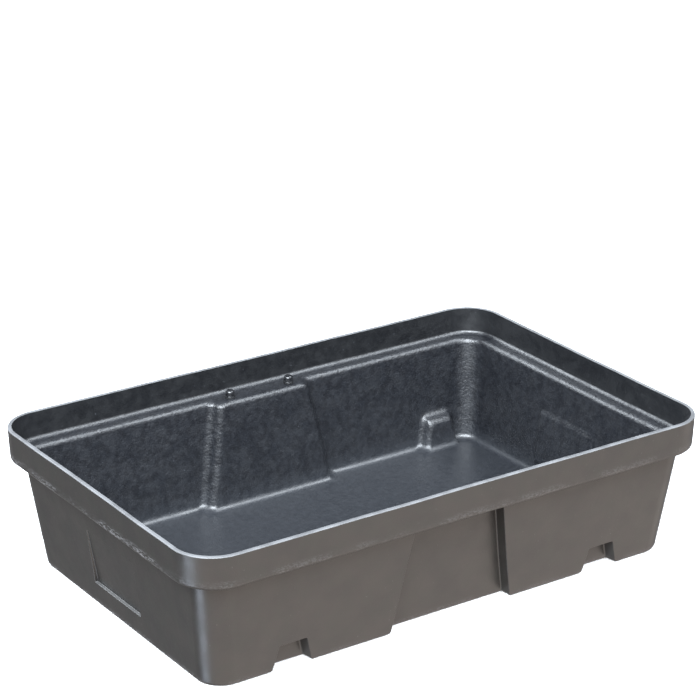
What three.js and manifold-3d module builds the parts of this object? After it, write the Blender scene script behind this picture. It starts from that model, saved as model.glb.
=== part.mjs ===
// Spill containment tray of about 30 litres: one rotationally moulded polyethylene tray with a rim
// band, a stepped ledge all round the inside and four fitted locating studs on that ledge.
// Millimetres, +Z up. X is the long side, and Y is the short side. The origin is on the surface
// that the tray stands on, under its middle.

import * as THREE from 'three';
import { mergeVertices } from 'three/addons/utils/BufferGeometryUtils.js';
import Module from 'manifold-3d';

const wasm = await Module();
wasm.setup();

// ---- Driving dimensions of the moulding ----
const LENGTH = 605;
const WIDTH = 400;
const HEIGHT = 150;
const WALL = 5;
const BASE = 6;

const BAND_HEIGHT = 35;            // rim band, from its square-cut top edge to its underside
const BAND_DRAFT = 1.2;            // how far the band leans in by its underside
const BAND_LOWER_ROUND = 4.5;
const BAND_CORNER = 44;            // plan radius of the rim's corners
const LEDGE_FILLET = 7;            // inside, between the ledge and the band

const STEP = 15.6;                 // how far the wall is set in under the band
const WALL_TAPER = 14;             // how much further in the wall is at the foot
const BODY_CORNER = 27;            // plan radius of the wall's corners
const FOOT_ROUND = 4;              // outside edge between the wall and the base
const FLOOR_FILLET = 10;           // inside edge between the wall and the floor

const CORNER_STEPS = 8;
const ROUND_STEPS = 3;

// ---- Shapes pressed into the walls ----
// Each is a tapered pocket: half widths at the wall's face, low and high, and depths below that face.
const END_CLEARANCE = 20;          // how far a cutting block reaches outside the wall

const CENTRE_RECESS = {
  low: 0, high: HEIGHT - BAND_HEIGHT, halfLow: 72, halfHigh: 51, depthLow: 13, depthHigh: 13, taper: 0.5,
};
const FRONT_FOOT_POCKET = {
  low: 0, high: 27.5, halfLow: 22.3, halfHigh: 15.3, depthLow: 13, depthHigh: 13, taper: 2,
};
const REAR_FOOT_POCKET = {
  low: 0, high: 31, halfLow: 17.5, halfHigh: 12, depthLow: 12, depthHigh: 12, taper: 2,
};
const END_PANEL = {
  low: 25, high: 84, halfLow: 45, halfHigh: 45, depthLow: 4.5, depthHigh: 1, taper: 0.5,
};
const FRONT_POCKET_X = 184.5;
const REAR_POCKET_X = 226;

// ---- Locating studs, one near each end of both widened stretches of the ledge ----
const STUD_X = 36.5;
const STUD_Y = 178;
const STUD_HOLE_RADIUS = 2.8;
const SHANK_RADIUS = 2.5;
const FLANGE_RADIUS = 5.1;
const FLANGE_HEIGHT = 1.2;
const HEAD_RADIUS = 4.7;
const HEAD_HEIGHT = 7.8;
const SHANK_END = 4.5;             // how far the shank stands out under the ledge
const WASHER_RADIUS = 5.4;
const WASHER_BORE = 2.7;
const WASHER_THICKNESS = 1;
const RETAINER_RADIUS = 5.6;
const RETAINER_BORE = 2.6;
const RETAINER_THICKNESS = 1.1;
const RETAINER_COLLAR_RADIUS = 3.7;
const RETAINER_HEIGHT = 2.6;
const TURNED_SIDES = 32;

// ---- Worked-out sizes ----
const HALF_LENGTH = LENGTH / 2;
const HALF_WIDTH = WIDTH / 2;
const UNDERSIDE = HEIGHT - BAND_HEIGHT;
const LEDGE = UNDERSIDE + WALL;

const setInAt = (z) => STEP + WALL_TAPER * (1 - z / UNDERSIDE);
const bandSetInAt = (z) => BAND_DRAFT * (HEIGHT - z) / BAND_HEIGHT;

// A level outline of the tray: a rectangle set in from the rim, with rounded corners.
function outline(setIn, radius, z) {
  const points = [];
  const x = HALF_LENGTH - setIn - radius;
  const y = HALF_WIDTH - setIn - radius;
  const centres = [[x, y], [-x, y], [-x, -y], [x, -y]];
  centres.forEach(([centreX, centreY], quarter) => {
    for (let step = 0; step <= CORNER_STEPS; step += 1) {
      const angle = (quarter + step / CORNER_STEPS) * Math.PI / 2;
      points.push([centreX + radius * Math.cos(angle), centreY + radius * Math.sin(angle), z]);
    }
  });
  return points;
}

// A closed body through a stack of outlines that all have the same number of points.
function loft(outlines) {
  const count = outlines[0].length;
  const indices = [];
  for (let level = 0; level < outlines.length - 1; level += 1) {
    for (let point = 0; point < count; point += 1) {
      const next = (point + 1) % count;
      const [a, b] = [level * count + point, level * count + next];
      const [c, d] = [a + count, b + count];
      indices.push(a, b, d, a, d, c);
    }
  }
  const top = (outlines.length - 1) * count;
  for (let point = 1; point < count - 1; point += 1) {
    indices.push(0, point + 1, point);
    indices.push(top, top + point, top + point + 1);
  }
  const geometry = new THREE.BufferGeometry();
  geometry.setAttribute('position', new THREE.Float32BufferAttribute(outlines.flat(2), 3));
  geometry.setIndex(indices);
  return geometry;
}

// Heights and insets of a quarter round: at the start it lies level, at the end it stands upright.
function quarterRound(radius, apply) {
  const outlines = [];
  for (let step = 0; step <= ROUND_STEPS; step += 1) {
    const angle = (step / ROUND_STEPS) * Math.PI / 2;
    outlines.push(apply(radius * (1 - Math.sin(angle)), radius * (1 - Math.cos(angle))));
  }
  return outlines;
}

// The moulding's outside, before anything is pressed into it.
function outerBody() {
  const foot = quarterRound(FOOT_ROUND, (inset, rise) =>
    outline(setInAt(rise) + inset, BODY_CORNER - inset, rise));
  const underside = outline(setInAt(UNDERSIDE), BODY_CORNER, UNDERSIDE);
  const band = quarterRound(BAND_LOWER_ROUND, (inset, rise) =>
    outline(bandSetInAt(UNDERSIDE + rise) + inset, BAND_CORNER - inset, UNDERSIDE + rise));
  return loft([...foot, underside, ...band, outline(0, BAND_CORNER, HEIGHT)]);
}

// The hollow of the tray, before the backs of the pressed shapes stand out into it.
function hollow() {
  const corner = BODY_CORNER - WALL;
  const bandCorner = BAND_CORNER - WALL;
  const floor = quarterRound(FLOOR_FILLET, (inset, rise) =>
    outline(setInAt(BASE + rise) + WALL + inset, corner - inset, BASE + rise));
  const lip = outline(setInAt(LEDGE) + WALL, corner, LEDGE);
  const ledge = quarterRound(LEDGE_FILLET, (inset, rise) =>
    outline(bandSetInAt(LEDGE + rise) + WALL + inset, bandCorner - inset, LEDGE + rise));
  const mouth = outline(WALL, bandCorner, HEIGHT + WALL);
  return loft([...floor, lip, ...ledge, mouth]);
}

// A tapered block that stands in a wall. halfSpan is from the middle of the tray to the rim there.
function wallBlock(pocket, halfSpan, shift) {
  const section = (z, half, depth) => {
    const face = halfSpan - setInAt(z);
    const flare = pocket.taper * END_CLEARANCE / depth;
    const outside = half + flare;
    const inside = half - pocket.taper;
    return [
      [shift - inside, face - depth, z],
      [shift + inside, face - depth, z],
      [shift + outside, face + END_CLEARANCE, z],
      [shift - outside, face + END_CLEARANCE, z],
    ];
  };
  return loft([
    section(pocket.low, pocket.halfLow, pocket.depthLow),
    section(pocket.high, pocket.halfHigh, pocket.depthHigh),
  ]);
}

// The back of a pocket, one wall thickness outside it on every side.
function backOf(pocket, rise, softening) {
  const reachesDown = pocket.low === 0;
  return {
    low: reachesDown ? 0 : pocket.low - WALL,
    high: pocket.high + rise,
    halfLow: pocket.halfLow + WALL + softening / 2,
    halfHigh: pocket.halfHigh + WALL + softening / 2,
    depthLow: pocket.depthLow + WALL,
    depthHigh: pocket.depthHigh + WALL,
    taper: softening,
  };
}

// Every pressed shape: its outside, its back, its wall's distance, its shift and its turn.
function pressedShapes() {
  const rear = 0;
  const left = Math.PI / 2;
  const front = Math.PI;
  const right = -Math.PI / 2;
  const recess = [CENTRE_RECESS, backOf(CENTRE_RECESS, WALL, 5), HALF_WIDTH];
  const frontFoot = [FRONT_FOOT_POCKET, backOf(FRONT_FOOT_POCKET, WALL, 3), HALF_WIDTH];
  const rearFoot = [REAR_FOOT_POCKET, backOf(REAR_FOOT_POCKET, WALL + 2, 5), HALF_WIDTH];
  const panel = [END_PANEL, backOf(END_PANEL, 0, 0.5), HALF_LENGTH];
  return [
    [...recess, 0, rear],
    [...recess, 0, front],
    [...frontFoot, FRONT_POCKET_X, front],
    [...frontFoot, -FRONT_POCKET_X, front],
    [...rearFoot, REAR_POCKET_X, rear],
    [...rearFoot, -REAR_POCKET_X, rear],
    [...panel, 0, left],
    [...panel, 0, right],
  ];
}

function solidFrom(geometry) {
  const bare = geometry.clone();
  bare.deleteAttribute('normal');
  bare.deleteAttribute('uv');
  const merged = mergeVertices(bare);
  return new wasm.Manifold(new wasm.Mesh({
    numProp: 3,
    vertProperties: new Float32Array(merged.attributes.position.array),
    triVerts: new Uint32Array(merged.index.array),
  }));
}

function geometryFrom(solid) {
  const mesh = solid.getMesh();
  const indexed = new THREE.BufferGeometry();
  indexed.setAttribute('position', new THREE.BufferAttribute(new Float32Array(mesh.vertProperties), 3));
  indexed.setIndex(new THREE.BufferAttribute(new Uint32Array(mesh.triVerts), 1));
  const geometry = indexed.toNonIndexed();
  geometry.computeVertexNormals();
  return geometry;
}

const studPlaces = [
  ['rear_left', -STUD_X, STUD_Y],
  ['rear_right', STUD_X, STUD_Y],
  ['front_left', -STUD_X, -STUD_Y],
  ['front_right', STUD_X, -STUD_Y],
];

function studHole(x, y) {
  const length = 4 * WALL;
  const hole = new THREE.CylinderGeometry(STUD_HOLE_RADIUS, STUD_HOLE_RADIUS, length, TURNED_SIDES);
  return hole.rotateX(Math.PI / 2).translate(x, y, LEDGE);
}

function trayGeometry() {
  let outside = solidFrom(outerBody());
  let inside = solidFrom(hollow());
  for (const [pocket, back, distance, shift, turn] of pressedShapes()) {
    outside = outside.subtract(solidFrom(wallBlock(pocket, distance, shift).rotateZ(turn)));
    inside = inside.subtract(solidFrom(wallBlock(back, distance, shift).rotateZ(turn)));
  }
  let tray = outside.subtract(inside);
  for (const [, x, y] of studPlaces) {
    tray = tray.subtract(solidFrom(studHole(x, y)));
  }
  return geometryFrom(tray);
}

// A turned piece: its profile is radius and height pairs, and its axis is Z.
function turned(profile) {
  const points = profile.map(([radius, height]) => new THREE.Vector2(radius, height));
  return new THREE.LatheGeometry(points, TURNED_SIDES).rotateX(Math.PI / 2);
}

// Dome-headed stud. Height 0 is the underside of its flange.
function studGeometry() {
  const shankBottom = -(WASHER_THICKNESS + WALL + SHANK_END);
  const domeStart = HEAD_HEIGHT * 0.55;
  const profile = [
    [0, shankBottom],
    [SHANK_RADIUS - 0.5, shankBottom],
    [SHANK_RADIUS, shankBottom + 0.8],
    [SHANK_RADIUS, 0],
    [FLANGE_RADIUS, 0],
    [FLANGE_RADIUS, FLANGE_HEIGHT],
    [HEAD_RADIUS, FLANGE_HEIGHT],
  ];
  const domeSteps = 6;
  for (let step = 0; step < domeSteps; step += 1) {
    const angle = (step / domeSteps) * Math.PI / 2;
    const height = domeStart + (HEAD_HEIGHT - domeStart) * Math.sin(angle);
    profile.push([HEAD_RADIUS * Math.cos(angle), height]);
  }
  profile.push([0, HEAD_HEIGHT]);
  return turned(profile);
}

function washerGeometry() {
  return turned([
    [WASHER_BORE, 0],
    [WASHER_RADIUS, 0],
    [WASHER_RADIUS, WASHER_THICKNESS],
    [WASHER_BORE, WASHER_THICKNESS],
    [WASHER_BORE, 0],
  ]);
}

// Push-on retainer. Height 0 is its top face, which bears on the underside of the ledge.
function retainerGeometry() {
  return turned([
    [RETAINER_BORE, -RETAINER_HEIGHT],
    [RETAINER_COLLAR_RADIUS, -RETAINER_HEIGHT],
    [RETAINER_COLLAR_RADIUS, -RETAINER_THICKNESS],
    [RETAINER_RADIUS, -RETAINER_THICKNESS],
    [RETAINER_RADIUS, 0],
    [RETAINER_BORE, 0],
    [RETAINER_BORE, -RETAINER_HEIGHT],
  ]);
}

const moulded = { color: 0x35363b, roughness: 0.55, metalness: 0 };
const glossyPlastic = { color: 0x141519, roughness: 0.25, metalness: 0 };
const rubber = { color: 0x1c1c1c, roughness: 0.8, metalness: 0 };
const zincPlatedSteel = { color: 0x9a9ca0, roughness: 0.4, metalness: 1 };

function piece(name, geometry, look, x = 0, y = 0, z = 0) {
  const mesh = new THREE.Mesh(geometry, new THREE.MeshStandardMaterial(look));
  mesh.name = name;
  mesh.position.set(x, y, z);
  return mesh;
}

const group = new THREE.Group();
group.add(piece('tray_body', trayGeometry(), moulded));
for (const [place, x, y] of studPlaces) {
  const seat = LEDGE + WASHER_THICKNESS;
  group.add(piece(`locating_stud_${place}`, studGeometry(), glossyPlastic, x, y, seat));
  group.add(piece(`stud_sealing_washer_${place}`, washerGeometry(), rubber, x, y, LEDGE));
  group.add(piece(`stud_retainer_${place}`, retainerGeometry(), zincPlatedSteel, x, y, UNDERSIDE));
}

export default group;
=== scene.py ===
"""Looks of the spill containment tray: one rotationally moulded tray and its fitted studs.

Sizes are in millimetres and are turned into metres where a mesh is made. The tray's outside and
inside are one closed surface: level outlines are stacked from the base up the outside, over the
rim and down the inside to the floor.
"""

import math
from dataclasses import dataclass

import bpy
import numpy as np
from mathutils import Matrix, Vector


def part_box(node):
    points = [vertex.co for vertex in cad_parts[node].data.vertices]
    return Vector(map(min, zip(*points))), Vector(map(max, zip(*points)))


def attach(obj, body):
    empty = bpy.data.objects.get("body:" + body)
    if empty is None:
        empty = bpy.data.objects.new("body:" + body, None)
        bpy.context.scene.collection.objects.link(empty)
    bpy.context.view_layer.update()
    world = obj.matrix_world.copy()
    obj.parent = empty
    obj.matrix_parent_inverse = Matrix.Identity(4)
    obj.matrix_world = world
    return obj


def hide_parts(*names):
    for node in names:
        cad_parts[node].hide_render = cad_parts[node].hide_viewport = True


MM = 0.001

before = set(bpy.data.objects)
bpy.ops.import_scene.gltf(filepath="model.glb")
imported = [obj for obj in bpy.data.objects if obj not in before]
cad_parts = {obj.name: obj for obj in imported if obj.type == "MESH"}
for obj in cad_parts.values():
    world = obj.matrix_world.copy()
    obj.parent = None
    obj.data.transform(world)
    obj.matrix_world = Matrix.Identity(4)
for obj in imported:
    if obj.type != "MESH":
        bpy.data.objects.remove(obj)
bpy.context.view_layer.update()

# ---- Sizes of the moulding, as in the CAD ----
tray_low, tray_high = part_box("tray_body")
LENGTH = (tray_high.x - tray_low.x) / MM
WIDTH = (tray_high.y - tray_low.y) / MM
HEIGHT = (tray_high.z - tray_low.z) / MM
WALL = 5.0
BASE = 6.0
BAND_HEIGHT = 35.0
BAND_DRAFT = 1.2
BAND_CORNER = 43.0
STEP = 15.6
WALL_TAPER = 14.0
BODY_CORNER = 27.0
UNDERSIDE = HEIGHT - BAND_HEIGHT
LEDGE = UNDERSIDE + WALL

# ---- Rounded edges, crisp outside and soft inside ----
FOOT_ROUND = 4.0
BAND_LOWER_ROUND = 4.5
UNDERSIDE_ROUND = 1.6
RIM_THICKNESS = 4.3
RIM_OUTER_ROUND = 1.3
RIM_INNER_ROUND = 0.5
LEDGE_FILLET = 4.6
LIP_ROUND = 5.8
FLOOR_FILLET = 7.0

# ---- Mesh fineness ----
CORNER_STEPS = 14
EDGE_STEPS = 4
SOFT_STEPS = 7
COLUMN_GAP = 13.0
ROW_GAP = 9.0


@dataclass
class Press:
    """A shape pressed into a wall. A back is the same shape seen from inside the tray."""

    centre: float
    half_low: float
    half_high: float
    low: float
    high: float
    depth_low: float
    depth_high: float
    taper: float
    face_round: float
    floor_round: float
    slope: float = 0.0
    top_open: bool = False
    bottom_open: bool = True

    def along(self, z):
        return min(1.0, max(0.0, (z - self.low) / (self.high - self.low)))

    def half(self, z):
        return self.half_low + (self.half_high - self.half_low) * self.along(z)

    def depth(self, z):
        return self.depth_low + (self.depth_high - self.depth_low) * self.along(z)

    def flank(self, lean):
        """How far along, and what share of the depth in, the points of one rounded flank are."""
        depth = max(self.depth_low, self.depth_high)
        angle = math.atan2(depth, lean)
        reach = math.tan(angle / 2)
        points = []
        for step in range(EDGE_STEPS + 1):
            turn = angle * step / EDGE_STEPS
            along = self.face_round * (math.sin(turn) - reach)
            points.append((along, self.face_round * (1 - math.cos(turn)) / depth))
        for step in range(EDGE_STEPS + 1):
            turn = angle * (1 - step / EDGE_STEPS)
            along = lean + self.floor_round * (reach - math.sin(turn))
            points.append((along, 1 - self.floor_round * (1 - math.cos(turn)) / depth))
        return points

    def rows(self):
        """Heights where the surface turns, so that an outline is needed there."""
        heights = []
        if not self.top_open:
            heights += [self.high - along for along, _ in self.flank(self.slope)]
        if not self.bottom_open:
            heights += [self.low + along for along, _ in self.flank(self.slope)]
        return heights

    def share(self, z):
        """What share of its depth the shape has at height z."""
        along, shares = zip(*self.flank(self.slope))
        share = 1.0
        if not self.top_open:
            share *= np.interp(self.high - z, along, shares)
        if not self.bottom_open:
            share *= np.interp(z - self.low, along, shares)
        return float(share)


FRONT_POCKET_X = 184.5
REAR_POCKET_X = 226.0


def outside_presses():
    recess = Press(0, 72, 51, 0, UNDERSIDE, 13, 13, 0.6, 0.9, 1.2, top_open=True)
    panel = Press(0, 45, 45, 25, 84, 3.4, 1.0, 0.6, 0.7, 0.7, slope=0.6, bottom_open=False)

    def front_pocket(centre):
        return Press(centre, 22.3, 15.3, 0, 27.5, 13, 13, 2.0, 0.8, 1.8, slope=1.0)

    def rear_pocket(centre):
        return Press(centre, 17.5, 12, 0, 31, 12, 12, 2.0, 0.8, 1.8, slope=1.0)

    return {
        "front": [front_pocket(-FRONT_POCKET_X), recess, front_pocket(FRONT_POCKET_X)],
        "right": [panel],
        "rear": [rear_pocket(-REAR_POCKET_X), recess, rear_pocket(REAR_POCKET_X)],
        "left": [panel],
    }


def inside_presses():
    recess = Press(0, 81, 59, 0, LEDGE, 13, 13, 5.0, 9.0, 9.0, top_open=True)
    panel = Press(0, 46, 46, 16, 80, 3.4, 1.2, 3.0, 3.5, 4.0, slope=6.0, bottom_open=False)

    def front_pocket(centre):
        return Press(centre, 28, 20.5, 0, 34, 13, 13, 4.0, 7.0, 7.0, slope=4.0)

    def rear_pocket(centre):
        return Press(centre, 26, 17.5, 0, 42.5, 12, 12, 4.5, 7.0, 7.0, slope=4.5)

    return {
        "front": [front_pocket(-FRONT_POCKET_X), recess, front_pocket(FRONT_POCKET_X)],
        "right": [panel],
        "rear": [rear_pocket(-REAR_POCKET_X), recess, rear_pocket(REAR_POCKET_X)],
        "left": [panel],
    }


# Each side runs anticlockwise seen from above: its direction, its way in and its half spans.
SIDES = {
    "front": ((1, 0), (0, 1), LENGTH / 2, WIDTH / 2),
    "right": ((0, 1), (-1, 0), WIDTH / 2, LENGTH / 2),
    "rear": ((-1, 0), (0, -1), LENGTH / 2, WIDTH / 2),
    "left": ((0, -1), (1, 0), WIDTH / 2, LENGTH / 2),
}
# Walls pull in unevenly. The two waves reach WAVE_PEAK at most, so adding it keeps them inwards.
WAVE = 0.35
SMALL_WAVE = 0.6
WAVE_PEAK = 1 + SMALL_WAVE
WAVE_FADE = 40.0

# Columns that a pressed shape would push past the end of a side close up to this gap.
SQUEEZED_GAP = 0.2


def set_in(z):
    return STEP + WALL_TAPER * (1 - z / UNDERSIDE)


def band_set_in(z):
    return BAND_DRAFT * (HEIGHT - z) / BAND_HEIGHT


def band_wall(z):
    """Thickness of the band's wall, which thins a little towards the rim."""
    return WALL - (WALL - RIM_THICKNESS) * (z - UNDERSIDE) / BAND_HEIGHT


def sag(side, u, half_span, z):
    """How far a wall of a cooled moulding has pulled in from flat. It is never outwards."""
    middle = np.clip(1 - (u / half_span) ** 2, 0, 1) ** 1.5
    phase = 1.7 * len(side) + ord(side[0])
    wave = np.sin(u / 31 + phase) * math.sin(z / 23 + phase)
    wave = wave + SMALL_WAVE * np.sin(u / 17 + z / 19 + 2 * phase)
    return WAVE * middle * (wave + WAVE_PEAK) * min(1.0, z / WAVE_FADE)


def straight(start, end, count):
    return [start + (end - start) * step / (count + 1) for step in range(1, count + 1)]


def gaps_of(side, presses):
    """How many columns lie in each plain stretch and on each pressed face of a side."""
    half_span = SIDES[side][2] - BAND_CORNER
    counts = []
    place = -half_span
    for press in presses:
        half = press.half_low
        counts.append(max(1, round((press.centre - half - place) / COLUMN_GAP)))
        counts.append(max(1, round(2 * half / COLUMN_GAP)))
        place = press.centre + half
    counts.append(max(1, round((half_span - place) / COLUMN_GAP)))
    return counts


COUNTS = {side: gaps_of(side, presses) for side, presses in outside_presses().items()}


def side_points(side, presses, half_span, z, grow, pressed):
    """Places along a side and how far in the surface is there."""
    counts = iter(COUNTS[side])
    across = []
    inward = []
    place = -half_span
    for press in presses:
        flank = press.flank(press.taper)
        half = press.half(z) + grow
        depth = press.depth(z) * press.share(z) * pressed
        left = [(press.centre - half + along, share * depth) for along, share in flank]
        right = [(2 * press.centre - u, v) for u, v in reversed(left)]
        plain = straight(place, left[0][0], next(counts))
        face = straight(left[-1][0], right[0][0], next(counts))
        across += plain + [u for u, _ in left] + face + [u for u, _ in right]
        inward += [0.0] * len(plain) + [v for _, v in left]
        inward += [depth] * len(face) + [v for _, v in right]
        place = right[-1][0]
    plain = straight(place, half_span, next(counts))
    across += plain
    inward += [0.0] * len(plain)
    room = half_span - SQUEEZED_GAP * np.arange(len(across))
    return np.clip(across, -room, room[::-1]), np.array(inward)


def outline(presses, z, inset, corner, grow=0.0, pressed=1.0):
    """One level outline of the tray, as points in millimetres."""
    points = []
    for side, (along, inwards, half_span, distance) in SIDES.items():
        along, inwards = np.array(along, float), np.array(inwards, float)
        straight_half = half_span - inset - corner
        u, v = side_points(side, presses[side], straight_half, z, grow, pressed)
        v = v + sag(side, u, half_span, z)
        points.append(np.outer(u, along) + np.outer(v + inset - distance, inwards))
        middle = along * straight_half + inwards * (inset + corner - distance)
        turn = np.linspace(0, math.pi / 2, CORNER_STEPS + 1)
        arc = np.outer(np.sin(turn), along) - np.outer(np.cos(turn), inwards)
        points.append(middle + corner * arc)
    flat = np.vstack(points)
    return np.column_stack([flat, np.full(len(flat), z)])


def quarter_round(radius, steps):
    """Inset and rise along a quarter round that starts level and ends upright."""
    turns = np.linspace(0, math.pi / 2, steps + 1)
    return [(radius * (1 - math.sin(t)), radius * (1 - math.cos(t))) for t in turns]


def wall_heights(presses, low, high):
    """Rows of a wall: where its pressed shapes turn, and evenly in between."""
    wanted = {round(z, 3) for side in presses.values() for press in side for z in press.rows()}
    marks = sorted({low, high} | {z for z in wanted if low < z < high})
    heights = [low]
    for start, end in zip(marks, marks[1:]):
        steps = max(1, math.ceil((end - start) / ROW_GAP))
        heights += [start + (end - start) * step / steps for step in range(1, steps + 1)]
    return heights


def outside_rows():
    """Outlines from the edge of the base up to the outer edge of the rim."""
    presses = outside_presses()
    rows = []
    for inset, rise in quarter_round(FOOT_ROUND, SOFT_STEPS):
        corner = BODY_CORNER - inset
        rows.append(outline(presses, rise, set_in(rise) + inset, corner, inset))
    for z in wall_heights(presses, FOOT_ROUND, UNDERSIDE - UNDERSIDE_ROUND)[1:]:
        rows.append(outline(presses, z, set_in(z), BODY_CORNER))
    for inset, rise in reversed(quarter_round(UNDERSIDE_ROUND, EDGE_STEPS)[:-1]):
        flare = UNDERSIDE_ROUND - inset
        z = UNDERSIDE - rise
        rows.append(outline(presses, z, set_in(z) - inset, BODY_CORNER + inset, -inset))
    lower = quarter_round(BAND_LOWER_ROUND, SOFT_STEPS)
    for inset, rise in lower:
        z = UNDERSIDE + rise
        rows.append(outline(presses, z, band_set_in(z) + inset, BAND_CORNER - inset, 0, 0))
    straight_top = HEIGHT - RIM_OUTER_ROUND
    for z in wall_heights({}, UNDERSIDE + BAND_LOWER_ROUND, straight_top)[1:]:
        rows.append(outline(presses, z, band_set_in(z), BAND_CORNER, 0, 0))
    return rows


def rim_rows():
    """Outlines over the rim, rounded on its outside and nearly square on its inside."""
    outer, inner = outside_presses(), inside_presses()
    rows = []
    for inset, rise in reversed(quarter_round(RIM_OUTER_ROUND, SOFT_STEPS)[:-1]):
        z = HEIGHT - rise
        rows.append(outline(outer, z, band_set_in(z) + inset, BAND_CORNER - inset, 0, 0))
    for inset, rise in quarter_round(RIM_INNER_ROUND, EDGE_STEPS)[:-1]:
        z = HEIGHT - rise
        edge = RIM_THICKNESS - inset
        rows.append(outline(inner, z, edge, BAND_CORNER - edge, 0, 0))
    return rows


def inside_rows():
    """Outlines from the inner edge of the rim down to the edge of the floor."""
    presses = inside_presses()
    corner = BAND_CORNER - WALL
    rows = []
    for z in reversed(wall_heights({}, LEDGE + LEDGE_FILLET, HEIGHT - RIM_INNER_ROUND)):
        rows.append(outline(presses, z, band_set_in(z) + band_wall(z), corner, 0, 0))
    for inset, rise in reversed(quarter_round(LEDGE_FILLET, SOFT_STEPS)[:-1]):
        z = LEDGE + rise
        across = band_set_in(z) + band_wall(z) + inset
        rows.append(outline(presses, z, across, corner - inset, 0, 0))
    corner = BODY_CORNER - WALL
    for inset, rise in quarter_round(LIP_ROUND, SOFT_STEPS):
        z = LEDGE - rise
        rows.append(outline(presses, z, set_in(z) + WALL - inset, corner + inset, -inset))
    floor_top = BASE + FLOOR_FILLET
    for z in reversed(wall_heights(presses, floor_top, LEDGE - LIP_ROUND)[:-1]):
        rows.append(outline(presses, z, set_in(z) + WALL, corner))
    for inset, rise in reversed(quarter_round(FLOOR_FILLET, SOFT_STEPS + 1)[:-1]):
        z = BASE + rise
        rows.append(outline(presses, z, set_in(z) + WALL + inset, corner - inset, inset))
    return rows


FLOOR_SHARES = [0.985, 0.95, 0.9, 0.8, 0.7, 0.6, 0.5, 0.4, 0.3, 0.2, 0.1, 0.03]
FLOOR_WAVE = 0.35


def floor_rows(edge):
    """Outlines that close in over the floor, which isn't quite flat."""
    rows = []
    for share in FLOOR_SHARES:
        row = edge * (share, share, 1)
        wave = np.sin(row[:, 0] / 37 + 0.4) * np.cos(row[:, 1] / 29 + 1.1)
        wave = wave + 0.5 * np.sin(row[:, 0] / 19 - row[:, 1] / 23)
        row[:, 2] = BASE + FLOOR_WAVE * wave * (1 - share ** 6)
        rows.append(row)
    return rows


def loft(name, groups, materials):
    """A closed mesh through stacked outlines. Each group of rows has its own material."""
    rows = [row for group in groups for row in group]
    slots = [index for index, group in enumerate(groups) for _ in group]
    count = len(rows[0])
    faces = [list(reversed(range(count)))]
    face_slots = [0]
    for level in range(len(rows) - 1):
        for column in range(count):
            following = (column + 1) % count
            low, high = level * count, (level + 1) * count
            faces.append([low + column, low + following, high + following, high + column])
            face_slots.append(slots[level])
    faces.append(list(range((len(rows) - 1) * count, len(rows) * count)))
    face_slots.append(slots[-1])
    mesh = bpy.data.meshes.new(name)
    mesh.from_pydata((np.vstack(rows) * MM).tolist(), [], faces)
    for material in materials:
        mesh.materials.append(material)
    mesh.polygons.foreach_set("material_index", face_slots)
    mesh.polygons.foreach_set("use_smooth", [True] * len(faces))
    mesh.update()
    piece = bpy.data.objects.new(name, mesh)
    bpy.context.scene.collection.objects.link(piece)
    return piece


# ---- Materials ----


def new_material(name):
    material = bpy.data.materials.new(name)
    material.use_nodes = True
    tree = material.node_tree
    return material, tree, tree.nodes["Principled BSDF"]


def add(tree, kind, inputs, **settings):
    """A new node. Its inputs are numbers, colours or other nodes' outputs."""
    made = tree.nodes.new(kind)
    for name, value in settings.items():
        setattr(made, name, value)
    for name, value in inputs.items():
        if isinstance(value, bpy.types.NodeSocket):
            tree.links.new(value, made.inputs[name])
        else:
            made.inputs[name].default_value = value
    return made


def noise(tree, place, wavelength, detail=2.0):
    """Noise whose bumps are about so many millimetres apart."""
    inputs = {"Vector": place, "Scale": 1 / (wavelength * MM), "Detail": detail}
    return add(tree, "ShaderNodeTexNoise", inputs).outputs["Fac"]


def ramp(tree, value, start, end, low=0.0, high=1.0):
    """Turns a value between start and end into one between low and high."""
    inputs = {"Value": value, "From Min": start, "From Max": end, "To Min": low, "To Max": high}
    return add(tree, "ShaderNodeMapRange", inputs, interpolation_type="SMOOTHSTEP").outputs["Result"]


def times(tree, first, second):
    made = add(tree, "ShaderNodeMath", {}, operation="MULTIPLY")
    for socket, value in zip(made.inputs, (first, second)):
        if isinstance(value, bpy.types.NodeSocket):
            tree.links.new(value, socket)
        else:
            socket.default_value = value
    return made.outputs["Value"]


def plus(tree, first, second):
    made = add(tree, "ShaderNodeMath", {}, operation="ADD")
    tree.links.new(first, made.inputs[0])
    tree.links.new(second, made.inputs[1])
    return made.outputs["Value"]


def blend(tree, factor, first, second):
    inputs = {"Fac": factor, "Color1": first, "Color2": second}
    return add(tree, "ShaderNodeMixRGB", inputs).outputs["Color"]


def stretched(tree, place, scale):
    return add(tree, "ShaderNodeMapping", {"Vector": place, "Scale": scale}).outputs["Vector"]


def shade(red, green, blue):
    return (red, green, blue, 1)


def bump(tree, shader, height, depth):
    """Relief as deep as so many millimetres."""
    inputs = {"Height": height, "Distance": depth * MM}
    made = add(tree, "ShaderNodeBump", inputs)
    tree.links.new(made.outputs["Normal"], shader.inputs["Normal"])


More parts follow.
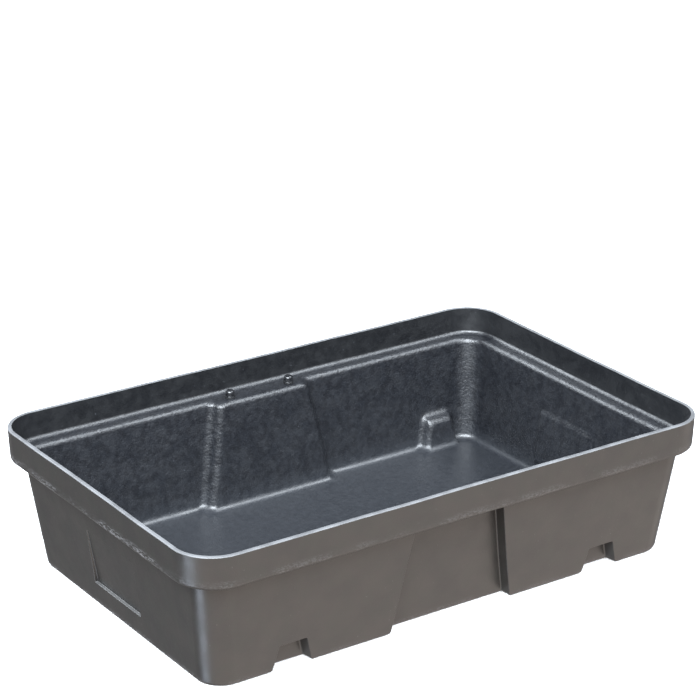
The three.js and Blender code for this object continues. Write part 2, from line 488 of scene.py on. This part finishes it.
def moulded_outside():
    """Satin black polyethylene off the mould, mottled, scuffed low down and dusty where level. Its
    slightly warm tone is painted warm light, the low rounded edges carry some painted highlight and
    level faces carry painted light from above.
    """
    material, tree, shader = new_material("moulded_outside")
    place = add(tree, "ShaderNodeTexCoord", {}).outputs["Object"]
    parts = add(tree, "ShaderNodeSeparateXYZ", {"Vector": place}).outputs
    cloud = ramp(tree, noise(tree, place, 30, 4), 0.38, 0.62)
    tint = ramp(tree, noise(tree, place, 13, 3), 0.42, 0.6)
    # The base colours lean slightly warm as painted warm light from the ground in front. The
    # mottling and the greenish tint are the plastic's own.
    base = blend(tree, cloud, shade(0.0135, 0.0125, 0.012), shade(0.0165, 0.015, 0.0138))
    base = blend(tree, times(tree, tint, 0.3), base, shade(0.0135, 0.016, 0.0128))
    dust = ramp(tree, noise(tree, place, 2.0, 1), 0.76, 0.82)
    base = blend(tree, times(tree, dust, 0.3), base, shade(0.16, 0.155, 0.15))
    # Pale scuffs along the band's lower edge and the foot, strongest on the left side. On these
    # rounded edges they are partly painted highlight.
    leftward = ramp(tree, parts["X"], -0.255, -0.285, 0.25, 1.0)
    band_edge = times(
        tree,
        ramp(tree, parts["Z"], (UNDERSIDE - 0.2) * MM, (UNDERSIDE + 1) * MM),
        ramp(tree, parts["Z"], (UNDERSIDE + 12) * MM, (UNDERSIDE + 5) * MM),
    )
    foot_edge = ramp(tree, parts["Z"], 8 * MM, 3 * MM)
    broad = ramp(tree, noise(tree, stretched(tree, place, (1, 1, 2)), 45, 3), 0.4, 0.56, 0.12, 1.0)
    streaks = noise(tree, stretched(tree, place, (1, 0.4, 2.2)), 2.0, 4)
    grit = ramp(tree, streaks, 0.44, 0.62)
    scuffs_and_painted_highlight = times(tree, plus(tree, band_edge, foot_edge), times(tree, broad, grit))
    scuffs_and_painted_highlight = times(tree, scuffs_and_painted_highlight, leftward)
    base = blend(tree, times(tree, scuffs_and_painted_highlight, 0.9), base, shade(0.15, 0.15, 0.155))
    # Faces that look up are paler: partly dust, partly painted light from above.
    facing = add(tree, "ShaderNodeNewGeometry", {}).outputs["Normal"]
    upward = add(tree, "ShaderNodeSeparateXYZ", {"Vector": facing}).outputs["Z"]
    dust_and_painted_top_light = ramp(tree, upward, 0.35, 0.8)
    base = blend(tree, times(tree, dust_and_painted_top_light, 0.6), base, shade(0.12, 0.117, 0.115))
    tree.links.new(base, shader.inputs["Base Color"])
    rough = ramp(tree, noise(tree, place, 24, 3), 0.3, 0.7, 0.3, 0.4)
    tree.links.new(rough, shader.inputs["Roughness"])
    shader.inputs["Specular IOR Level"].default_value = 0.55
    fine = times(tree, noise(tree, place, 1.3, 2), 0.3)
    bump(tree, shader, plus(tree, fine, noise(tree, place, 11, 2)), 0.12)
    return material


def trimmed_rim_with_painted_highlight():
    """The rim's trimmed edge, rough and paler than the moulded skin: partly scraped plastic, partly
    painted highlight from the light above.
    """
    material, tree, shader = new_material("trimmed_rim_with_painted_highlight")
    place = add(tree, "ShaderNodeTexCoord", {}).outputs["Object"]
    cloud = ramp(tree, noise(tree, place, 22, 4), 0.32, 0.68)
    base = blend(tree, cloud, shade(0.115, 0.116, 0.12), shade(0.17, 0.172, 0.178))
    tree.links.new(base, shader.inputs["Base Color"])
    rough = ramp(tree, noise(tree, place, 3, 2), 0.3, 0.7, 0.4, 0.6)
    tree.links.new(rough, shader.inputs["Roughness"])
    bump(tree, shader, noise(tree, place, 0.9, 3), 0.08)
    return material


def moulded_inside():
    """The free inner skin: glossy black with a grain like orange peel, smoother on the band. Its
    tones are bluish as painted cool light, darker on the band as painted shade and paler on the
    floor as painted light.
    """
    material, tree, shader = new_material("moulded_inside")
    place = add(tree, "ShaderNodeTexCoord", {}).outputs["Object"]
    parts = add(tree, "ShaderNodeSeparateXYZ", {"Vector": place}).outputs
    below = ramp(tree, parts["Z"], (LEDGE + 5) * MM, LEDGE * MM)
    low = ramp(tree, parts["Z"], 30 * MM, 8 * MM)
    cloud = ramp(tree, noise(tree, place, 6, 4), 0.36, 0.64)
    # Painted light and shade: the band is darker as painted shade, the floor paler as painted light
    # from above, and every tone bluish as painted cool light.
    band = blend(tree, cloud, shade(0.003, 0.0034, 0.0045), shade(0.0042, 0.0048, 0.006))
    wall = blend(tree, cloud, shade(0.004, 0.0046, 0.0068), shade(0.0076, 0.0088, 0.012))
    floor = blend(tree, cloud, shade(0.0125, 0.0142, 0.0178), shade(0.0165, 0.0187, 0.023))
    base = blend(tree, below, band, blend(tree, low, wall, floor))
    # Dust specks, tinted bluish by the same painted cool light.
    dust = ramp(tree, noise(tree, place, 2.1, 1), 0.75, 0.82)
    base = blend(tree, times(tree, dust, 0.35), base, shade(0.14, 0.15, 0.17))
    tree.links.new(base, shader.inputs["Base Color"])
    rough = ramp(tree, noise(tree, place, 12, 3), 0.3, 0.7, 0.36, 0.46)
    tree.links.new(rough, shader.inputs["Roughness"])
    shader.inputs["Specular IOR Level"].default_value = 1.0
    grain = times(tree, noise(tree, place, 2.6, 3), 0.65)
    peel = plus(tree, grain, times(tree, noise(tree, place, 7, 2), 0.5))
    upright = ramp(tree, parts["Z"], 7 * MM, 14 * MM, 0.4, 1.0)
    strength = times(tree, upright, ramp(tree, below, 0, 1, 0.3, 1.0))
    bump(tree, shader, times(tree, peel, strength), 0.8)
    return material


def glossy_plastic():
    """Injection-moulded black nylon of the fitted studs."""
    material, tree, shader = new_material("stud_plastic")
    place = add(tree, "ShaderNodeTexCoord", {}).outputs["Object"]
    cloud = ramp(tree, noise(tree, place, 2.5, 3), 0.35, 0.65)
    base = blend(tree, cloud, shade(0.008, 0.0085, 0.01), shade(0.013, 0.0135, 0.015))
    tree.links.new(base, shader.inputs["Base Color"])
    rough = ramp(tree, noise(tree, place, 1.2, 2), 0.3, 0.7, 0.2, 0.28)
    tree.links.new(rough, shader.inputs["Roughness"])
    shader.inputs["Specular IOR Level"].default_value = 0.8
    bump(tree, shader, noise(tree, place, 0.8, 2), 0.02)
    return material


def washer_rubber():
    """Dull black rubber of the sealing washers."""
    material, tree, shader = new_material("washer_rubber")
    place = add(tree, "ShaderNodeTexCoord", {}).outputs["Object"]
    cloud = ramp(tree, noise(tree, place, 1.5, 3), 0.3, 0.7)
    base = blend(tree, cloud, shade(0.007, 0.007, 0.0075), shade(0.013, 0.013, 0.0135))
    tree.links.new(base, shader.inputs["Base Color"])
    rough = ramp(tree, noise(tree, place, 0.9, 2), 0.3, 0.7, 0.6, 0.8)
    tree.links.new(rough, shader.inputs["Roughness"])
    bump(tree, shader, noise(tree, place, 0.5, 3), 0.04)
    return material


def plated_steel():
    """Dull zinc-plated spring steel of the push-on retainers."""
    material, tree, shader = new_material("retainer_steel")
    place = add(tree, "ShaderNodeTexCoord", {}).outputs["Object"]
    cloud = ramp(tree, noise(tree, place, 1.8, 4), 0.35, 0.65)
    base = blend(tree, cloud, shade(0.32, 0.33, 0.34), shade(0.45, 0.455, 0.46))
    tree.links.new(base, shader.inputs["Base Color"])
    shader.inputs["Metallic"].default_value = 1.0
    rough = ramp(tree, noise(tree, place, 0.7, 2), 0.3, 0.7, 0.28, 0.42)
    tree.links.new(rough, shader.inputs["Roughness"])
    bump(tree, shader, noise(tree, place, 0.4, 2), 0.02)
    return material


def make_tray():
    outside = outside_rows()
    rim = rim_rows()
    inside = inside_rows()
    floor = floor_rows(inside[-1])
    materials = [moulded_outside(), trimmed_rim_with_painted_highlight(), moulded_inside()]
    tray = loft("moulded_tray", [outside, rim, inside + floor], materials)
    weighted = tray.modifiers.new("weighted_normals", "WEIGHTED_NORMAL")
    weighted.keep_sharp = True
    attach(tray, "root")
    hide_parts("tray_body")
    print("tray", len(tray.data.vertices), "vertices", len(tray.data.polygons), "faces")
    return tray


# ---- Fitted studs ----
TURNED_SIDES = 72
STUD_TOP_ROUND = 3.4
TEETH = 6


def arc(centre_r, centre_z, radius, start, end, steps=8):
    """Points of a round corner in a turned profile, by angle from straight out, in degrees."""
    turns = np.radians(np.linspace(start, end, steps + 1))
    return [(centre_r + radius * math.cos(t), centre_z + radius * math.sin(t)) for t in turns]


def turned(name, profile, centre, closed, material):
    """A piece turned about the upright through centre. A profile that isn't closed ends on it."""
    turns = np.linspace(0, 2 * math.pi, TURNED_SIDES, endpoint=False)
    vertices = [
        (centre.x + r * math.cos(t) * MM, centre.y + r * math.sin(t) * MM, centre.z + z * MM)
        for r, z in profile
        for t in turns
    ]
    faces = []
    count = len(profile)
    for level in range(count if closed else count - 1):
        low, high = level * TURNED_SIDES, (level + 1) % count * TURNED_SIDES
        for side in range(TURNED_SIDES):
            following = (side + 1) % TURNED_SIDES
            faces.append([low + side, low + following, high + following, high + side])
    if not closed:
        faces.append(list(reversed(range(TURNED_SIDES))))
        faces.append(list(range((count - 1) * TURNED_SIDES, count * TURNED_SIDES)))
    return finished(name, vertices, faces, material)


def finished(name, vertices, faces, material):
    mesh = bpy.data.meshes.new(name)
    mesh.from_pydata(vertices, [], faces)
    mesh.materials.append(material)
    mesh.polygons.foreach_set("use_smooth", [True] * len(faces))
    mesh.update()
    piece = bpy.data.objects.new(name, mesh)
    bpy.context.scene.collection.objects.link(piece)
    weighted = piece.modifiers.new("weighted_normals", "WEIGHTED_NORMAL")
    weighted.keep_sharp = True
    return piece


def stud_profile(height, reach):
    """From the shank's tip, reach below the seat, up to the crown, height above it."""
    shank, flange, head = 2.5, 5.3, 4.9
    profile = [(0.3, -reach), (shank - 0.8, -reach)]
    profile += arc(shank - 0.5, -reach + 1.2, 0.5, -20, 0, 3)
    for groove in range(4):
        z = -reach + 2.2 + groove * 1.3
        profile += [(shank, z), (shank - 0.25, z + 0.3), (shank, z + 0.6)]
    profile += [(shank, -0.4), (shank + 0.3, 0)]
    profile += arc(flange - 0.35, 0.35, 0.35, -90, 0, 4)
    profile += arc(flange - 0.35, 0.85, 0.35, 0, 90, 4)
    profile += [(head - 0.5, 1.25), (head - 0.55, 1.5), (head - 0.25, 1.75)]
    profile += arc(head - STUD_TOP_ROUND, height - STUD_TOP_ROUND, STUD_TOP_ROUND, 0, 82, 14)
    profile.append((0.3, height))
    return profile


def washer_profile(low, high):
    inner, outer, edge = 2.7, 5.4, 0.4
    points = arc(outer - edge, low + edge, edge, -90, 0, 5)
    points += arc(outer - edge, high - edge, edge, 0, 90, 5)
    points += arc(inner + 0.25, high - 0.25, 0.25, 90, 180, 3)
    points += arc(inner + 0.25, low + 0.25, 0.25, 180, 270, 3)
    return points


def retainer(name, centre, low, high, material):
    """A push-on star retainer: a dished ring whose inner teeth grip the shank."""
    thick, rim_radius, root, tip = 0.45, 5.6, 3.9, 2.6
    sides = TEETH * 16
    rings = [(rim_radius, 0.0), (4.9, 0.05), (root, 0.35)]
    vertices, faces = [], []
    for side in range(sides):
        turn = 2 * math.pi * side / sides
        share = 0.5 + 0.5 * math.cos(TEETH * turn)
        reach = min(1.0, max(0.0, (share - 0.12) * 6))
        inner = root - 0.25 - (root - 0.25 - tip) * reach
        drop = 0.45 + (high - low - thick - 0.45) * reach
        for radius, fall in rings + [(inner, drop)]:
            for level in (high - fall, high - fall - thick):
                place = (radius * math.cos(turn) * MM, radius * math.sin(turn) * MM, level * MM)
                vertices.append(tuple(c + p for c, p in zip(centre, place)))
    per_side = 2 * (len(rings) + 1)
    loop = [0, 2, 4, 6, 7, 5, 3, 1]
    for side in range(sides):
        here, there = side * per_side, (side + 1) % sides * per_side
        for start, end in zip(loop, loop[1:] + loop[:1]):
            faces.append([here + start, here + end, there + end, there + start])
    return finished(name, vertices, faces, material)


def make_studs():
    plastic, rubber, steel = glossy_plastic(), washer_rubber(), plated_steel()
    for corner in ("rear_left", "rear_right", "front_left", "front_right"):
        stud_low, stud_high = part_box("locating_stud_" + corner)
        washer_low, washer_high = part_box("stud_sealing_washer_" + corner)
        clip_low, clip_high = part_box("stud_retainer_" + corner)
        middle = (stud_low + stud_high) / 2
        seat = Vector((middle.x, middle.y, washer_high.z))
        height = (stud_high.z - washer_high.z) / MM
        reach = (washer_high.z - stud_low.z) / MM
        thickness = (washer_high.z - washer_low.z) / MM
        stud = turned("stud_" + corner, stud_profile(height, reach), seat, False, plastic)
        profile = washer_profile(-thickness, 0)
        washer = turned("sealing_washer_" + corner, profile, seat, True, rubber)
        drop = ((clip_low.z - seat.z) / MM, (clip_high.z - seat.z) / MM)
        clip = retainer("star_retainer_" + corner, seat, *drop, steel)
        for piece, node, slot in (
            (stud, "locating_stud_", "stud"),
            (washer, "stud_sealing_washer_", "sealing_washer"),
            (clip, "stud_retainer_", "retainer"),
        ):
            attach(piece, "root")
            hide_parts(node + corner)


# ---- Studio ----
FLOOR_GAP = 0.5
GROUND_REAR = (0.44, 0.43, 0.43, 1)
GROUND_FRONT = (1.95, 1.72, 1.58, 1)
SKY_REAR = (0.17, 0.18, 0.205, 1)
SKY_FRONT = (0.62, 0.64, 0.69, 1)


def make_floor():
    """A pale floor that catches the tray's shadow but doesn't block light or bounce any back.

    It lies just under the tray, since two surfaces at one height would show through each other.
    """
    bpy.ops.mesh.primitive_plane_add(size=16, location=(0, 0, -FLOOR_GAP * MM))
    floor = bpy.context.object
    floor.name = "studio_floor"
    material, tree, shader = new_material("studio_floor")
    shader.inputs["Base Color"].default_value = (0.8, 0.8, 0.8, 1)
    shader.inputs["Roughness"].default_value = 0.9
    shader.inputs["Emission Color"].default_value = (1, 1, 1, 1)
    shader.inputs["Emission Strength"].default_value = 0.35
    floor.data.materials.append(material)
    floor.visible_diffuse = False
    floor.visible_glossy = False
    floor.visible_shadow = False


def make_world():
    """Soft light from all round: cool above and warm and bright off the ground in front."""
    world = bpy.data.worlds.new("studio")
    bpy.context.scene.world = world
    world.use_nodes = True
    tree = world.node_tree
    direction = add(tree, "ShaderNodeTexCoord", {}).outputs["Generated"]
    parts = add(tree, "ShaderNodeSeparateXYZ", {"Vector": direction}).outputs
    sky = blend(tree, ramp(tree, parts["Y"], 0.15, -0.9), SKY_REAR, SKY_FRONT)
    ground = blend(tree, ramp(tree, parts["Y"], 0.3, -0.45), GROUND_REAR, GROUND_FRONT)
    light = blend(tree, ramp(tree, parts["Z"], -0.3, -0.08), ground, sky)
    tree.links.new(light, tree.nodes["Background"].inputs["Color"])


def soft_light(name, azimuth, elevation, distance, size, power, colour):
    """A softbox aimed at the tray. Azimuth 0 is in front of it and -90 at its left."""
    turn, rise = math.radians(azimuth), math.radians(elevation)
    level = math.cos(rise)
    away = Vector((math.sin(turn) * level, -math.cos(turn) * level, math.sin(rise)))
    data = bpy.data.lights.new(name, "AREA")
    data.shape = "RECTANGLE"
    data.size, data.size_y = size
    data.energy = power
    data.color = colour
    lamp = bpy.data.objects.new(name, data)
    bpy.context.scene.collection.objects.link(lamp)
    lamp.location = away * distance
    lamp.rotation_mode = "QUATERNION"
    lamp.rotation_quaternion = (-away).to_track_quat("-Z", "Y")


def make_lights():
    """The main softboxes, and one below floor level that the tray's outside reflects."""
    soft_light("key", -45, 46, 3.6, (3.8, 1.5), 500, (0.86, 0.93, 1))
    soft_light("top", 52, 54, 3.4, (2.4, 1.4), 100, (0.86, 0.93, 1))
    soft_light("rear", -160, 34, 3.6, (2.6, 1.1), 105, (0.86, 0.93, 1))
    soft_light("side_glint", -92, -33, 3.0, (1.2, 1.0), 26, (0.74, 0.84, 1))


# ---- Camera ----
VIEW_AZIMUTH = -33.97
VIEW_ELEVATION = 21.52
VIEW_ROLL = 0.108
VIEW_DISTANCE = 2980.0
VIEW_LENS = 132.97
VIEW_TARGET = (208.1, 314.1, 75.0)


def make_camera():
    azimuth, elevation, roll = (math.radians(a) for a in (VIEW_AZIMUTH, VIEW_ELEVATION, VIEW_ROLL))
    level = math.cos(elevation)
    back = Vector((math.sin(azimuth) * level, -math.cos(azimuth) * level, math.sin(elevation)))
    right = Vector((math.cos(azimuth), math.sin(azimuth), 0))
    up = back.cross(right)
    turned_right = right * math.cos(roll) - up * math.sin(roll)
    turned_up = right * math.sin(roll) + up * math.cos(roll)
    data = bpy.data.cameras.new("camera")
    data.lens = VIEW_LENS
    data.sensor_width = 36
    data.clip_start, data.clip_end = 0.05, 50
    camera = bpy.data.objects.new("camera", data)
    bpy.context.scene.collection.objects.link(camera)
    place = (Vector(VIEW_TARGET) + back * VIEW_DISTANCE) * MM
    turn = Matrix((turned_right, turned_up, back)).transposed()
    camera.matrix_world = Matrix.Translation(place) @ turn.to_4x4()
    bpy.context.scene.camera = camera


make_tray()
make_studs()
make_floor()
make_world()
make_lights()
make_camera()
bpy.context.scene.view_settings.view_transform = "Standard"
